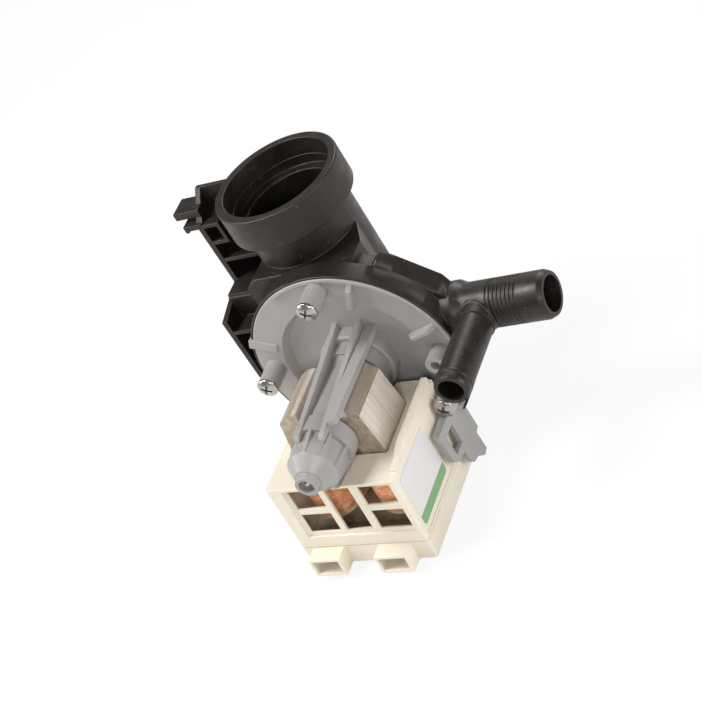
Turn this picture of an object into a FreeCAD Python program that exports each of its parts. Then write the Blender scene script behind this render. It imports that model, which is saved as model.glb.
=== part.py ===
import FreeCAD, Part
import math
import os

os.makedirs("parts", exist_ok=True)

V = FreeCAD.Vector

# Circulation pump of a washing machine: a plastic pump housing, a synchronous motor and its coil box.
# Millimetres. Sub-parts are drawn about the rotor: its axis is Y, with the nose of the rotor can towards -Y
# and the pump chamber towards +Y. Z is up, along the inlet pipe. The last step moves the whole pump so that
# the origin is the centre of the inlet pipe's mouth.

# Inlet pipe and suction chamber
inlet_x = -11.8
inlet_y = 32.0
inlet_rim_z = 65.0
collar_radius = 24.7
collar_bore = 21.2
collar_height = 13.8
collar_floor = 2.2
collar_round = 0.8
pipe_radius = 20.3
pipe_bore = 17.4
side_inset = 0.5
pipe_floor_z = -17.5
chamber_floor = 2.6
suction_top_z = 39.0
suction_right_x = 14.6
suction_reach = 47.6
suction_front_y = 8.1
eye_radius = 11.5
elbow_wall = 2.6
elbow_back_y = 26.0

# Pump housing round the impeller
rim_wall = 0.8
rim_edge_y = 0.5
rim_edge_round = 0.3
rim_front_y = 3.0
rim_back_y = 8.6
volute_radius = 42.0
volute_core_radius = 38.6
volute_back_y = 17.0
chamber_radius = 30.1
snail_radius = 35.6
chamber_back_y = 14.2
snail_end_deg = 59.0
snail_round = 1.2
snail_tangent_deg = 48.0
snail_corner_x = 40.0
snail_corner_bevel = 1.6

# Outlet spigot along +X and the branch spigot that leaves it towards -Y
outlet_y = 12.8
outlet_z = 6.6
outlet_end_x = 78.0
outlet_radius = 8.8
outlet_bore = 6.5
outlet_root_x = 21.0
outlet_root_radius = 10.2
outlet_root_end_x = 46.0
barb_start_x = 56.0
barb_count = 8
barb_pitch = 1.6
barb_depth = 0.35
spigot_chamfer = 2.2
spigot_taper = 0.9
bore_start = 3.0
flare_length = 3.0
branch_x = 50.8
branch_end_y = -29.3
branch_radius = 6.5
branch_bore = 4.6
branch_chamfer = 1.6
branch_taper = 0.5
branch_collar = 6.9
branch_collar_rise = 1.5
saddle_radius = 7.4
saddle_rise = 0.5

# Holding bracket at the left of the housing
bracket_outer_x = -49.8
bracket_wall = 2.4
bracket_rib = 1.6
bracket_front_y = 25.0
bracket_low_front_y = 6.2
bracket_back_y = 38.0
bracket_web = 1.8
bracket_top_front_y = 36.2
bracket_top_z = 64.5
bracket_knee_z = 55.2
bracket_step_z = 27.5
bracket_low_step_z = 23.7
bracket_foot_z = -5.0
bracket_rib_z = 37.8
bracket_low_rib_z = 17.8
bracket_low_rib_x = -36.0
bracket_grip = 4.0
bracket_low_web_x = -41.5
bracket_low_web_z = -13.0
bracket_foot_inner = (-38.5, -12.0)
bracket_foot_outer = (-40.0, -14.5)
bracket_heel = 8.0
tab_reach = 9.0
tab_front_y = 27.7
tab_depth = 9.4
tab_top_z = 60.6
tab_thickness = 3.0
hook_reach = 6.0
hook_top_z = 56.0
hook_thickness = 3.0
hook_depth = 9.0
hook_lip = 1.6
hook_groove = 0.7
window_width = 7.2
window_height = 9.6

# Motor flange: a lid on the pump housing, in one piece with the rotor can
flange_radius = 40.6
flange_seat_gap = 0.2
flange_lip = 1.7
flange_floor_y = 1.3
recess_radius = 27.2
recess_slope = 0.55
recess_floor_y = 3.8
register_gap = 0.2
register_wall = 2.4
register_depth = 3.6
lid_thickness = 2.4
boss_radius = 4.0
boss_top_y = -9.6
top_screw = (1.2, 35.3)
left_screw = (-34.2, 3.6)
low_screw_gap = 3.5
low_screw_z = -18.4
spare_boss = (33.4, -1.6)
spare_boss_top_y = -6.4
pilot_radius = 1.5
pilot_end_y = 8.0
shank_end_y = 7.4
screw_hole_radius = 1.9
shank_gap = 0.06
head_space = 0.4
drive_depth = 1.3
head_radius = 4.0
head_crown = 6.4
head_height = 2.4
recess_half = 2.2
recess_slot = 0.42
recess_deg = 30.0
tall_gusset_deg = (67.0, 17.0)
tall_gusset_inner = 26.6
tall_gusset_height = 3.6
pad_start_deg = 118.7
pad_end_deg = 205.0
pad_ramp = 4.6
gusset_half = 0.9
lug_inner = 31.2
lug_reach = 1.6
lug_half_width = 2.0
lug_deg = 156.0
lug_top_y = -0.6
lug_root = 0.8
lug_gap = 0.2

# Rotor can
can_radius = 10.6
can_wall = 1.5
root_radius = 14.4
root_front_y = -2.0
root_step_radius = 12.4
root_step_y = -7.8
cap_radius = 11.3
cap_back_y = -36.4
cap_front_y = -43.5
cap_step_radius = 9.7
cap_taper_y = -53.0
cap_taper_radius = 9.5
cone_radius = 5.2
cone_y = -57.8
nose_radius = 4.3
nose_y = -60.4
nose_bore = 2.9
pin_radius = 1.5
web_x = (-3.6, 6.3)
web_width = 2.2
web_root_z = 16.4
web_tip_z = 11.2
web_tip_y = -48.0
nose_fin = 1.2
nose_fin_count = 8
nose_fin_start_deg = 4.0
nose_fin_step_deg = 40.0
arm_inner_x = 7.8
arm_width = 4.4
arm_bottom_z = 11.6
arm_thickness = 2.6
arm_tip_y = -43.4
hook_drop = 2.6

# Side plate of the flange, beside the coil box
side_plate_gap = 0.3
side_notch_z = 24.0
side_plate_thickness = 2.0
side_plate_rear_y = 2.6
side_plate_top_z = -12.0
side_slot = (-16.4, -35.7, -9.8, -26.9)

# Flange seal
seal_section = 1.7
seal_groove_start = 1.0
seal_groove_depth = 1.45
seal_play = 0.1

# Motor angle: the motor sits in the flange turned a little about the rotor axis
motor_turn_deg = 2.8

# Laminated stator core
core_front_y = -36.0
core_back_y = -12.6
core_bore = 11.0
leg_inner_x = 8.7
leg_outer_x = 18.6
leg_top_z = 11.2
leg_bevel_z = -9.2
leg_side = (16.2, 7.8)
leg_corner = (13.4, 9.9)
leg_tip_x = 10.6
pole_tip_x = 8.2
pole_foot_z = -8.0
yoke_top_z = -36.6
yoke_bottom_z = -45.4

# Coils
bobbin_gap = 0.2
bobbin_wall = 1.1
bobbin_flange = 1.3
coil_top_z = -12.4
coil_bottom_z = -36.2
wire_radius = 0.25
turn_count = 22
coil_side_build = 4.95
coil_end_build = 5.3
coil_half_width = (leg_outer_x - leg_inner_x) / 2 + coil_side_build
coil_half_depth = (core_back_y - core_front_y) / 2 + coil_end_build
turn_base_gap = 0.06

# Thermal fuse
fuse_margin_z = 5.0
fuse_half_width = 3.0
fuse_thickness = 2.6
fuse_clearance = 0.65

# Coil box: the coils with a clearance and a wall give its width, and the fuse behind them its back
coil_clearance = 0.4
box_wall = 1.8
box_half_width = (leg_inner_x + leg_outer_x) / 2 + coil_half_width + wire_radius + coil_clearance + box_wall
box_front_y = -51.0
coil_back_y = (core_front_y + core_back_y) / 2 + coil_half_depth + wire_radius + coil_clearance
box_back_y = coil_back_y + fuse_thickness + fuse_clearance + box_wall
box_top_z = -10.0
box_seam_z = -41.0
box_bottom_z = -49.5
ridge_width = 2.6
ridge_top_z = -6.6
trough_radius = 11.6
trough_wall = 0.9
core_slot_gap = 0.4
panel_recess = 0.8
panel_x = (-20.2, 23.6)
panel_z = (-35.4, -11.4)
window_left_x = (-18.6, -6.2)
window_middle_x = (-3.6, 6.8)
window_right_x = (10.2, 23.0)
window_upper_z = (-21.6, -12.2)
window_lower_z = (-33.6, -24.4)
side_panel_depth = 0.4
side_panel_front = 2.6
side_panel_back = 5.0
side_panel_z = (-39.6, -12.4)
seam_gap = 0.15
base_step = 3.0

# Places that follow from the sizes above
rim_radius = flange_radius + flange_seat_gap + rim_wall
side_plate_x = box_half_width + side_plate_gap
low_screw = (box_half_width + low_screw_gap, low_screw_z)
screw_circle = (top_screw, left_screw, low_screw)

# Connectors
socket_left_x = (-21.6, -8.6)
socket_right_x = (5.6, 18.8)
socket_front_y = -57.2
socket_top_z = -41.1
socket_wall = 1.3
blade_width = 6.3
blade_thickness = 0.8
blade_length = 12.0
blade_front_y = -52.6

# Rotor
shaft_radius = 2.0
running_gap = 0.05
magnet_radius = 8.5
magnet_back_y = -38.0
magnet_front_y = -12.0
sleeve_radius = 3.4
washer_radius = 3.6
washer_thickness = 0.8
bush_radius = 4.4
bush_length = 6.0
mount_radius = 6.9
rear_bush_y = -43.7
front_bush_y = -6.4
mount_gap = 0.05
carrier_gap = 0.15
carrier_front_y = 2.6
lip_seal_radius = 5.4
lip_seal_length = 2.4

# Impeller and its coupling with free play
impeller_radius = 24.0
impeller_plate_y = 7.2
impeller_plate = 1.4
blade_tip_y = 13.4
blade_count = 6
vane_thickness = 1.5
vane_sweep_deg = 34.0
vane_middle_deg = 11.0
vane_bulge = 1.0
hub_radius = 7.6
hub_cavity = 6.3
hub_back_y = 13.6
dog_radius = 5.9
dog_hub_radius = 3.4
dog_deg = 44.0
dog_place_deg = 90.0
stop_deg = 44.0
stop_place_deg = 270.0
dog_clearance = 0.4
hub_cap_base = 1.4
cap_dome = 3.4

# Rating label
label_thickness = 0.2
label_y = (-47.0, -21.0)
label_z = (-37.0, -13.8)


def block(x0, x1, y0, y1, z0, z1):
    return Part.makeBox(x1 - x0, y1 - y0, z1 - z0, V(x0, y0, z0))


def rod_y(radius, y0, y1, x=0.0, z=0.0):
    return Part.makeCylinder(radius, y1 - y0, V(x, y0, z), V(0, 1, 0))


def rod_x(radius, x0, x1, y=0.0, z=0.0):
    return Part.makeCylinder(radius, x1 - x0, V(x0, y, z), V(1, 0, 0))


def rod_z(radius, z0, z1, x=0.0, y=0.0):
    return Part.makeCylinder(radius, z1 - z0, V(x, y, z0), V(0, 0, 1))


def ring_y(outer, inner, y0, y1):
    return rod_y(outer, y0, y1).cut(rod_y(inner, y0 - 1, y1 + 1))


def turned_y(profile, x=0.0, z=0.0):
    # Turns a closed (radius, y) outline about a line along Y.
    points = [V(r, y, 0) for r, y in profile]
    face = Part.Face(Part.makePolygon(points + [points[0]]))
    solid = face.revolve(V(0, 0, 0), V(0, 1, 0), 360)
    return solid.translated(V(x, 0, z))


def plate(points, normal, start, end):
    # Extrudes a closed outline, given in the plane across the axis named by normal.
    place = {"x": lambda a, b: V(start, a, b),
             "y": lambda a, b: V(a, start, b),
             "z": lambda a, b: V(a, b, start)}
    push = {"x": V(end - start, 0, 0), "y": V(0, end - start, 0), "z": V(0, 0, end - start)}
    corners = [place[normal](a, b) for a, b in points]
    return Part.Face(Part.makePolygon(corners + [corners[0]])).extrude(push[normal])


def sector(radius, y0, y1, start_deg, end_deg):
    arc = Part.makeCylinder(radius, y1 - y0, V(0, 0, 0), V(0, 0, 1), end_deg - start_deg)
    arc.rotate(V(0, 0, 0), V(0, 0, 1), start_deg)
    arc.rotate(V(0, 0, 0), V(1, 0, 0), 90)
    return arc.translated(V(0, y1, 0))


def fuse(shapes):
    return shapes[0].multiFuse(shapes[1:]).removeSplitter()


def cut(shape, tools):
    for tool in tools:
        shape = shape.cut(tool)
    return shape


def motor_turn(shape):
    turned = shape.copy()
    turned.rotate(V(0, 0, 0), V(0, 1, 0), motor_turn_deg)
    return turned


def on_circle(radius, deg):
    return radius * math.cos(math.radians(deg)), radius * math.sin(math.radians(deg))


# Pump housing
def inlet_outside():
    pipe = rod_z(pipe_radius, pipe_floor_z, inlet_rim_z - 1, inlet_x, inlet_y)
    collar = rod_z(collar_radius, inlet_rim_z - collar_height, inlet_rim_z, inlet_x, inlet_y)
    rim_edges = [e for e in collar.Edges if e.BoundBox.ZMin > inlet_rim_z - 0.01]
    collar = collar.makeFillet(collar_round, rim_edges)
    left = inlet_x - pipe_radius + side_inset
    tangent_x = inlet_x + pipe_radius
    plan = [(left, rim_front_y + 2), (suction_right_x, rim_front_y + 2), (suction_right_x, volute_back_y + 3)]
    plan += [(tangent_x, inlet_y), (left, inlet_y)]
    body = plate(plan, "z", pipe_floor_z, suction_top_z)
    body = body.common(rod_y(suction_reach, suction_front_y, inlet_y))
    return fuse([pipe, collar, body])


def volute_outside():
    seat = flange_radius + flange_seat_gap
    rim = turned_y([(0, rim_front_y), (seat, rim_front_y), (seat, rim_edge_y),
                    (rim_radius - rim_edge_round, rim_edge_y), (rim_radius, rim_edge_y + rim_edge_round),
                    (rim_radius, rim_back_y), (0, rim_back_y)])
    core = rod_y(volute_core_radius, rim_front_y, volute_back_y)
    return fuse([rim, core, snail_outside()])


def snail_outside():
    # The volute's wall: an arc, then a straight run to the root of the outlet
    end = on_circle(volute_radius, snail_end_deg)
    middle = on_circle(volute_radius, (snail_end_deg + snail_tangent_deg) / 2)
    start = on_circle(volute_radius, snail_tangent_deg)
    corner_z = start[1] - (snail_corner_x - start[0]) / math.tan(math.radians(snail_tangent_deg))
    side_x = snail_corner_x + snail_corner_bevel
    corners = [start, (snail_corner_x, corner_z), (side_x, outlet_z + outlet_root_radius)]
    corners += [(side_x, 0), (0, 0), end]
    points = [V(x, rim_back_y, z) for x, z in corners]
    arc = Part.Arc(points[-1], V(middle[0], rim_back_y, middle[1]), points[0]).toShape()
    lines = [Part.makeLine(a, b) for a, b in zip(points, points[1:])]
    snail = Part.Face(Part.Wire([arc] + lines)).extrude(V(0, volute_back_y - rim_back_y, 0))
    back = [e for e in snail.Edges if e.BoundBox.YMin > volute_back_y - 0.01]
    edges = [e for e in back if e.BoundBox.XMin > 1]
    return snail.makeFillet(snail_round, edges)


def outlet_outside():
    tip = outlet_end_x
    pipe = rod_x(outlet_radius, outlet_root_x, tip - spigot_chamfer, outlet_y, outlet_z)
    cone = Part.makeCone(outlet_radius, outlet_radius - spigot_taper, spigot_chamfer,
                         V(tip - spigot_chamfer, outlet_y, outlet_z), V(1, 0, 0))
    root_end = outlet_root_end_x - flare_length
    root = rod_x(outlet_root_radius, outlet_root_x, root_end, outlet_y, outlet_z)
    flare = Part.makeCone(outlet_root_radius, outlet_radius, flare_length,
                          V(root_end, outlet_y, outlet_z), V(1, 0, 0))
    shape = fuse([pipe, cone, root, flare])
    for i in range(barb_count):
        x = barb_start_x + i * barb_pitch
        groove = rod_x(outlet_radius + 1, x, x + barb_pitch / 2, outlet_y, outlet_z)
        kept = rod_x(outlet_radius - barb_depth, x - 1, x + barb_pitch, outlet_y, outlet_z)
        shape = shape.cut(groove.cut(kept))
    return shape


def branch_outside():
    pipe = turned_y([(0, outlet_y), (branch_radius, outlet_y), (branch_radius, branch_end_y + branch_chamfer),
                     (branch_radius - branch_taper, branch_end_y), (0, branch_end_y)], branch_x, outlet_z)
    collar = rod_y(branch_collar, outlet_y - outlet_radius - branch_collar_rise, outlet_y, branch_x, outlet_z)
    saddle = rod_x(outlet_radius + saddle_rise, branch_x - saddle_radius, branch_x + saddle_radius,
                   outlet_y, outlet_z)
    saddle = saddle.common(rod_y(saddle_radius, branch_end_y, outlet_y, branch_x, outlet_z))
    return fuse([pipe, collar, saddle])


def bracket():
    # Walls and ribs round open pockets that face the motor side, closed by a web at the back
    outer = bracket_outer_x
    inner = outer + bracket_wall
    back = bracket_back_y
    web_y = back - bracket_web
    half = bracket_rib / 2
    pipe_side = inlet_x - pipe_radius + bracket_grip
    volute_side = -volute_core_radius + bracket_grip
    wall = plate([(bracket_front_y, bracket_step_z), (bracket_front_y, bracket_knee_z),
                  (bracket_top_front_y, bracket_top_z), (back, bracket_top_z),
                  (back, bracket_step_z - bracket_heel), (volute_back_y, bracket_foot_z),
                  (bracket_low_front_y, bracket_foot_z), (bracket_low_front_y, bracket_low_step_z)],
                 "x", outer, inner)
    web = block(inner - 1, pipe_side, web_y, back, bracket_step_z - 1, bracket_top_z)
    top = block(inner - 1, pipe_side, bracket_top_front_y, back, bracket_top_z - bracket_rib, bracket_top_z)
    link = block(inner - 1, pipe_side, volute_back_y - 1, back, bracket_step_z - 1, bracket_step_z + 1)
    low_web = plate([(inner - 1, bracket_step_z), (volute_side, bracket_step_z),
                     (volute_side, bracket_low_web_z), (bracket_low_web_x, bracket_low_web_z),
                     (inner - 1, bracket_foot_z - 1)], "y", volute_back_y - bracket_web, volute_back_y)
    foot = plate([(outer, bracket_foot_z), (inner, bracket_foot_z + half),
                  bracket_foot_inner, bracket_foot_outer], "y", bracket_low_front_y, volute_back_y)
    rib = block(inner - 1, pipe_side, bracket_front_y, back, bracket_rib_z - half, bracket_rib_z + half)
    low_rib = block(inner - 1, bracket_low_rib_x, bracket_low_front_y, volute_back_y,
                    bracket_low_rib_z - half, bracket_low_rib_z + half)
    frame = block(inner - 1, inner + window_width, bracket_front_y, back, bracket_knee_z - window_height,
                  bracket_knee_z)
    frame = frame.cut(block(inner, inner + window_width - bracket_rib, bracket_front_y - 1, web_y,
                            bracket_knee_z - window_height + bracket_rib, bracket_knee_z - bracket_rib))
    tab = block(outer - tab_reach, inner, tab_front_y, tab_front_y + tab_depth,
                tab_top_z - tab_thickness, tab_top_z)
    hook_z = hook_top_z - hook_thickness
    hook = block(outer - hook_reach, inner, bracket_front_y, bracket_front_y + hook_depth, hook_z, hook_top_z)
    hook = hook.cut(block(outer - hook_reach + hook_lip, outer, bracket_front_y - 1, back, hook_z - 1,
                          hook_z + hook_groove))
    return fuse([wall, web, top, link, low_web, foot, rib, low_rib, frame, tab, hook])


def housing_hollows():
    back_wall = chamber_back_y
    hollows = [
        rod_z(collar_bore, inlet_rim_z - collar_height + collar_floor, inlet_rim_z + 1, inlet_x, inlet_y),
        rod_z(pipe_bore, pipe_floor_z + chamber_floor, inlet_rim_z, inlet_x, inlet_y),
        rod_y(eye_radius, back_wall - 1, elbow_back_y),
        rod_y(flange_radius + flange_seat_gap, boss_top_y, rim_front_y),
        rod_y(chamber_radius, rim_front_y - 1, back_wall),
        rod_y(snail_radius, rim_back_y + 1, back_wall),
        rod_x(outlet_bore, outlet_root_x + bore_start, outlet_end_x + 1, outlet_y, outlet_z),
        rod_y(branch_bore, branch_end_y - 1, outlet_y, branch_x, outlet_z),
        flange_lug(lug_gap),
        block(side_plate_x - lug_gap, side_plate_x + side_plate_thickness + lug_gap,
              rim_edge_y - 1, rim_front_y, -rim_radius, -side_notch_z),
    ]
    for x, z in screw_circle + (spare_boss,):
        hollows.append(rod_y(pilot_radius, rim_front_y - 1, pilot_end_y, x, z))
    return hollows


def housing():
    # One moulding, as four solids that meet face to face
    meet = max(rim_radius, volute_radius) + 0.1
    reach = inlet_rim_z
    inner_side = block(0, meet, -reach, reach, -reach, reach)
    outlet = outlet_outside()
    volute = fuse([volute_outside(), outlet.common(inner_side)])
    elbow = rod_y(eye_radius + elbow_wall, chamber_back_y, elbow_back_y + elbow_wall)
    inlet = fuse([inlet_outside(), elbow])
    hollows = housing_hollows()
    return {
        "volute_housing": cut(volute, hollows),
        "inlet_pipe": cut(inlet, [volute] + hollows),
        "outlet_pipe": cut(fuse([outlet.cut(inner_side), branch_outside().cut(inner_side)]), hollows),
        "holding_bracket": cut(bracket(), [volute, inlet]),
    }


# Motor flange with the rotor can
def flange_disc():
    spigot = chamber_radius - register_gap
    lid_back = recess_floor_y + lid_thickness
    seal_y = rim_front_y + seal_groove_start
    seal_floor = spigot - seal_groove_depth
    seal_end_y = seal_y + seal_section + seal_play
    lip_in = flange_radius - flange_lip
    return turned_y([
        (0, recess_floor_y), (recess_radius, recess_floor_y),
        (recess_edge(flange_floor_y), flange_floor_y), (lip_in, flange_floor_y),
        (lip_in, 0.3), (lip_in + 0.3, 0), (flange_radius - 0.4, 0), (flange_radius, 0.4),
        (flange_radius, rim_front_y), (spigot, rim_front_y), (spigot, seal_y), (seal_floor, seal_y),
        (seal_floor, seal_end_y), (spigot, seal_end_y),
        (spigot, rim_front_y + register_depth), (spigot - register_wall, rim_front_y + register_depth),
        (spigot - register_wall, lid_back), (0, lid_back)])


def recess_edge(y):
    # Radius of the recess's conical wall at a given depth
    return recess_radius + (recess_floor_y - y) * recess_slope


def flange_pad():
    # Raised part of the floor at the lip's level, with a ramp down at its upper end
    inner = recess_edge(0)
    outer = lip_edge() + 0.4
    root = flange_floor_y + 0.5
    ring = turned_y([(recess_edge(flange_floor_y), flange_floor_y), (inner, 0), (outer, 0), (outer, root),
                     (recess_edge(flange_floor_y), root)])
    pad = ring.common(sector(flange_radius, -1, root, pad_start_deg, pad_end_deg))
    ramp = plate([(0, 0), (flange_floor_y, -pad_ramp), (root, -pad_ramp), (root, 0.4), (0, 0.4)],
                 "x", inner, outer)
    ramp.rotate(V(0, 0, 0), V(0, 1, 0), -pad_start_deg)
    ramp = ramp.common(rod_y(outer, -1, root)).cut(rod_y(recess_edge(flange_floor_y), -1, root))
    return pad.fuse(ramp)


def flange_lug(gap=0.0):
    end = flange_radius + lug_reach + gap
    lug = block(lug_inner - gap, end, lug_top_y - gap, flange_floor_y + lug_root + gap,
                -lug_half_width - gap, lug_half_width + gap)
    lug.rotate(V(0, 0, 0), V(0, 1, 0), -lug_deg)
    return lug


def can_outside():
    return turned_y([
        (0, recess_floor_y + 1), (root_radius, recess_floor_y + 1), (root_radius, root_front_y + 0.8),
        (root_radius - 0.8, root_front_y), (root_step_radius, root_front_y), (root_step_radius, root_step_y),
        (can_radius + 0.8, root_step_y), (can_radius, core_back_y),
        (can_radius, cap_back_y), (cap_radius, cap_back_y),
        (cap_radius, cap_front_y), (cap_step_radius, cap_front_y), (cap_taper_radius, cap_taper_y),
        (cone_radius, cone_y), (nose_radius + 0.3, cone_y), (nose_radius, nose_y), (0, nose_y)])


def can_inside():
    bore = can_radius - can_wall
    pocket = mount_radius + mount_gap
    pocket_end = rear_bush_y - bush_length / 2 - 1.4
    return turned_y([
        (0, recess_floor_y + lid_thickness + 1), (bore, recess_floor_y + lid_thickness + 1),
        (bore, magnet_back_y - 2.6), (pocket, magnet_back_y - 2.6), (pocket, pocket_end),
        (pin_radius, pocket_end), (pin_radius, cone_y), (0, cone_y)])


def can_web(x):
    low = can_radius - 1.5
    points = [(recess_floor_y, low), (recess_floor_y, web_root_z + 0.6), (flange_floor_y, web_root_z),
              (web_tip_y + 1.2, web_tip_z), (web_tip_y, web_tip_z - 1.4), (web_tip_y, low)]
    return plate(points, "x", x - web_width / 2, x + web_width / 2)


def snap_arm():
    x0 = arm_inner_x
    x1 = arm_inner_x + arm_width
    top = arm_bottom_z + arm_thickness
    beam = block(x0, x1, arm_tip_y + arm_width / 2, recess_floor_y + 1, arm_bottom_z, top)
    beam = beam.fuse(rod_z(arm_width / 2, arm_bottom_z, top, (x0 + x1) / 2, arm_tip_y + arm_width / 2))
    catch = plate([(core_front_y - 0.3, arm_bottom_z + 0.4), (core_front_y - 0.3, arm_bottom_z - hook_drop),
                   (core_front_y - 1.2, arm_bottom_z - hook_drop), (core_front_y - 4.4, arm_bottom_z + 0.4)],
                  "x", x0, x1)
    return beam.fuse(catch)


def nose_gusset(deg):
    fin = plate([(cap_front_y + 0.6, cap_taper_radius - 1), (cap_front_y + 0.6, cap_radius - 0.2),
                 (cap_front_y, cap_radius - 0.2), (cap_taper_y + 0.6, cap_taper_radius + 0.3),
                 (cap_taper_y + 0.6, cap_taper_radius - 1)], "x", -nose_fin / 2, nose_fin / 2)
    fin.rotate(V(0, 0, 0), V(0, 1, 0), deg)
    return fin


def flange_gusset(deg, inner, height):
    top = flange_floor_y - height
    root = flange_floor_y + 0.6
    fin = plate([(inner, root), (inner, top + height * 0.75), (inner + 2.0, top), (lip_edge() - 2, top),
                 (lip_edge() + 0.6, 0.2), (lip_edge() + 0.6, root)], "z", -gusset_half, gusset_half)
    fin.rotate(V(0, 0, 0), V(0, 1, 0), -deg)
    return fin


def lip_edge():
    return flange_radius - flange_lip


def side_plate():
    y0, z0, y1, z1 = side_slot
    rear = side_plate_rear_y
    top = side_plate_top_z
    outline = [(rear, top), (rear, z0 - 5.5), (rear - 2.4, z0 - 6.0), (rear - 2.2, z0 - 14.6),
               (rear - 5.3, z0 - 15.2), (y1 + 3.3, z0 - 11.6), (y1, z0 - 11.0), (y1 - 1.8, z0 - 8.8),
               (y1 - 1.7, z0 - 3.6), (y0 - 0.6, z0 - 3.0), (y0 - 3.8, z0), (y0 - 4.1, z1 + 4.8),
               (y1 - 3.0, z1 + 9.6), (y1 + 3.0, z1 + 10.4), (rear - 3.0, top)]
    x0 = side_plate_x
    x1 = side_plate_x + side_plate_thickness
    sheet = plate(outline, "x", x0, x1).cut(block(x0 - 1, x1 + 1, y0, y1, z0, z1))
    return sheet.cut(block(x0 - 1, x1 + 1, rim_front_y, rear + 1, -flange_radius, top + 1))


def motor_flange():
    turned = [can_outside()] + [can_web(x) for x in web_x] + [snap_arm()]
    turned += [nose_gusset(nose_fin_start_deg + nose_fin_step_deg * i) for i in range(nose_fin_count)]
    parts = [flange_disc(), flange_pad(), flange_lug(), side_plate()] + [motor_turn(shape) for shape in turned]
    parts += [rod_y(boss_radius, boss_top_y, flange_floor_y + 0.5, x, z) for x, z in screw_circle]
    parts.append(rod_y(boss_radius, spare_boss_top_y, flange_floor_y + 0.5, *spare_boss))
    parts += [flange_gusset(deg, tall_gusset_inner, tall_gusset_height) for deg in tall_gusset_deg]
    shape = fuse(parts)
    holes = [can_inside(), rod_y(nose_bore, nose_y - 1, cone_y + 0.01)]
    holes += [rod_y(boss_radius + head_space, nose_y, boss_top_y, x, z) for x, z in screw_circle]
    for x, z in screw_circle:
        holes.append(rod_y(screw_hole_radius, boss_top_y - 1, rim_front_y + 1, x, z))
    holes.append(rod_y(screw_hole_radius, spare_boss_top_y - 1, rim_front_y + 1, *spare_boss))
    return cut(shape, holes)


def flange_seal():
    groove_floor = chamber_radius - register_gap - seal_groove_depth
    y = rim_front_y + seal_groove_start + (seal_section + seal_play) / 2
    r = (seal_section - seal_play) / 2
    return Part.makeTorus(groove_floor + r + seal_play / 5, r, V(0, y, 0), V(0, 1, 0))


def screw(x, z):
    under = boss_top_y
    crown = Part.makeSphere(head_crown, V(x, under - head_height + head_crown, z))
    head = crown.common(rod_y(head_radius, under - head_height - 1, under, x, z))
    shank = rod_y(pilot_radius - shank_gap, under - 0.5, shank_end_y, x, z)
    body = head.fuse(shank)
    top = under - head_height - 1
    floor = under - head_height + drive_depth
    cross = fuse([block(x - recess_half, x + recess_half, top, floor, z - recess_slot, z + recess_slot),
                  block(x - recess_slot, x + recess_slot, top, floor, z - recess_half, z + recess_half)])
    cross.rotate(V(x, 0, z), V(0, 1, 0), recess_deg)
    return body.cut(cross)


def flange_screws():
    return Part.makeCompound([screw(x, z) for x, z in screw_circle])


# Stator
def leg(side):
    outline = [(leg_inner_x, yoke_top_z - 1), (leg_outer_x, yoke_top_z - 1), (leg_outer_x, leg_bevel_z),
               leg_side, leg_corner, (leg_tip_x, leg_top_z - 0.2), (pole_tip_x, leg_top_z),
               (pole_tip_x, 0), (leg_inner_x, pole_foot_z)]
    shape = plate(outline, "y", core_front_y, core_back_y)
    return shape if side > 0 else shape.mirror(V(0, 0, 0), V(1, 0, 0))


def stator_core():
    yoke = block(-leg_outer_x, leg_outer_x, core_front_y, core_back_y, yoke_bottom_z, yoke_top_z)
    body = fuse([leg(1), leg(-1), yoke])
    return motor_turn(body.cut(rod_y(core_bore, core_front_y - 1, core_back_y + 1)))


def leg_centre():
    return (leg_inner_x + leg_outer_x) / 2, (core_front_y + core_back_y) / 2


def oval(offset, z0, z1):
    # A solid with the outline of one turn of the coil, moved outwards by the offset
    x, y = leg_centre()
    ring = []
    for i in range(4):
        p0, t0 = oval_point(x, y, i)
        p1, t1 = oval_point(x, y, i + 1)
        ring += [arc.toShape() for arc in biarc(p0, t0, p1, t1)]
    outline = Part.Wire(ring)
    if abs(offset) > 0.001:
        outline = outline.makeOffset2D(offset)
    return Part.Face(outline).translated(V(0, 0, z0)).extrude(V(0, 0, z1 - z0))


def oval_point(x, y, quarter):
    angle = quarter * math.pi / 2
    point = V(x + coil_half_width * math.cos(angle), y + coil_half_depth * math.sin(angle), 0)
    return point, V(-math.sin(angle), math.cos(angle), 0)


def leg_hole(margin):
    hole = bobbin_gap + margin
    return block(leg_inner_x - hole, leg_outer_x + hole, core_front_y - hole, core_back_y + hole,
                 coil_bottom_z - 1, coil_top_z + 1)


def coil_bobbin(side):
    tube = block(leg_inner_x - bobbin_gap - bobbin_wall, leg_outer_x + bobbin_gap + bobbin_wall,
                 core_front_y - bobbin_gap - bobbin_wall, core_back_y + bobbin_gap + bobbin_wall,
                 coil_bottom_z, coil_top_z)
    ends = [oval(wire_radius, coil_top_z - bobbin_flange, coil_top_z),
            oval(wire_radius, coil_bottom_z, coil_bottom_z + bobbin_flange)]
    return placed_coil(fuse([tube] + ends).cut(leg_hole(0)), side)


def winding_span():
    return coil_bottom_z + bobbin_flange + 0.1, coil_top_z - bobbin_flange - 0.1


def winding_core(side):
    # The inner layers of the coil as one plain body
    z0, z1 = winding_span()
    body = oval(-wire_radius - turn_base_gap, z0, z1)
    return placed_coil(body.cut(leg_hole(bobbin_wall)), side)


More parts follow.
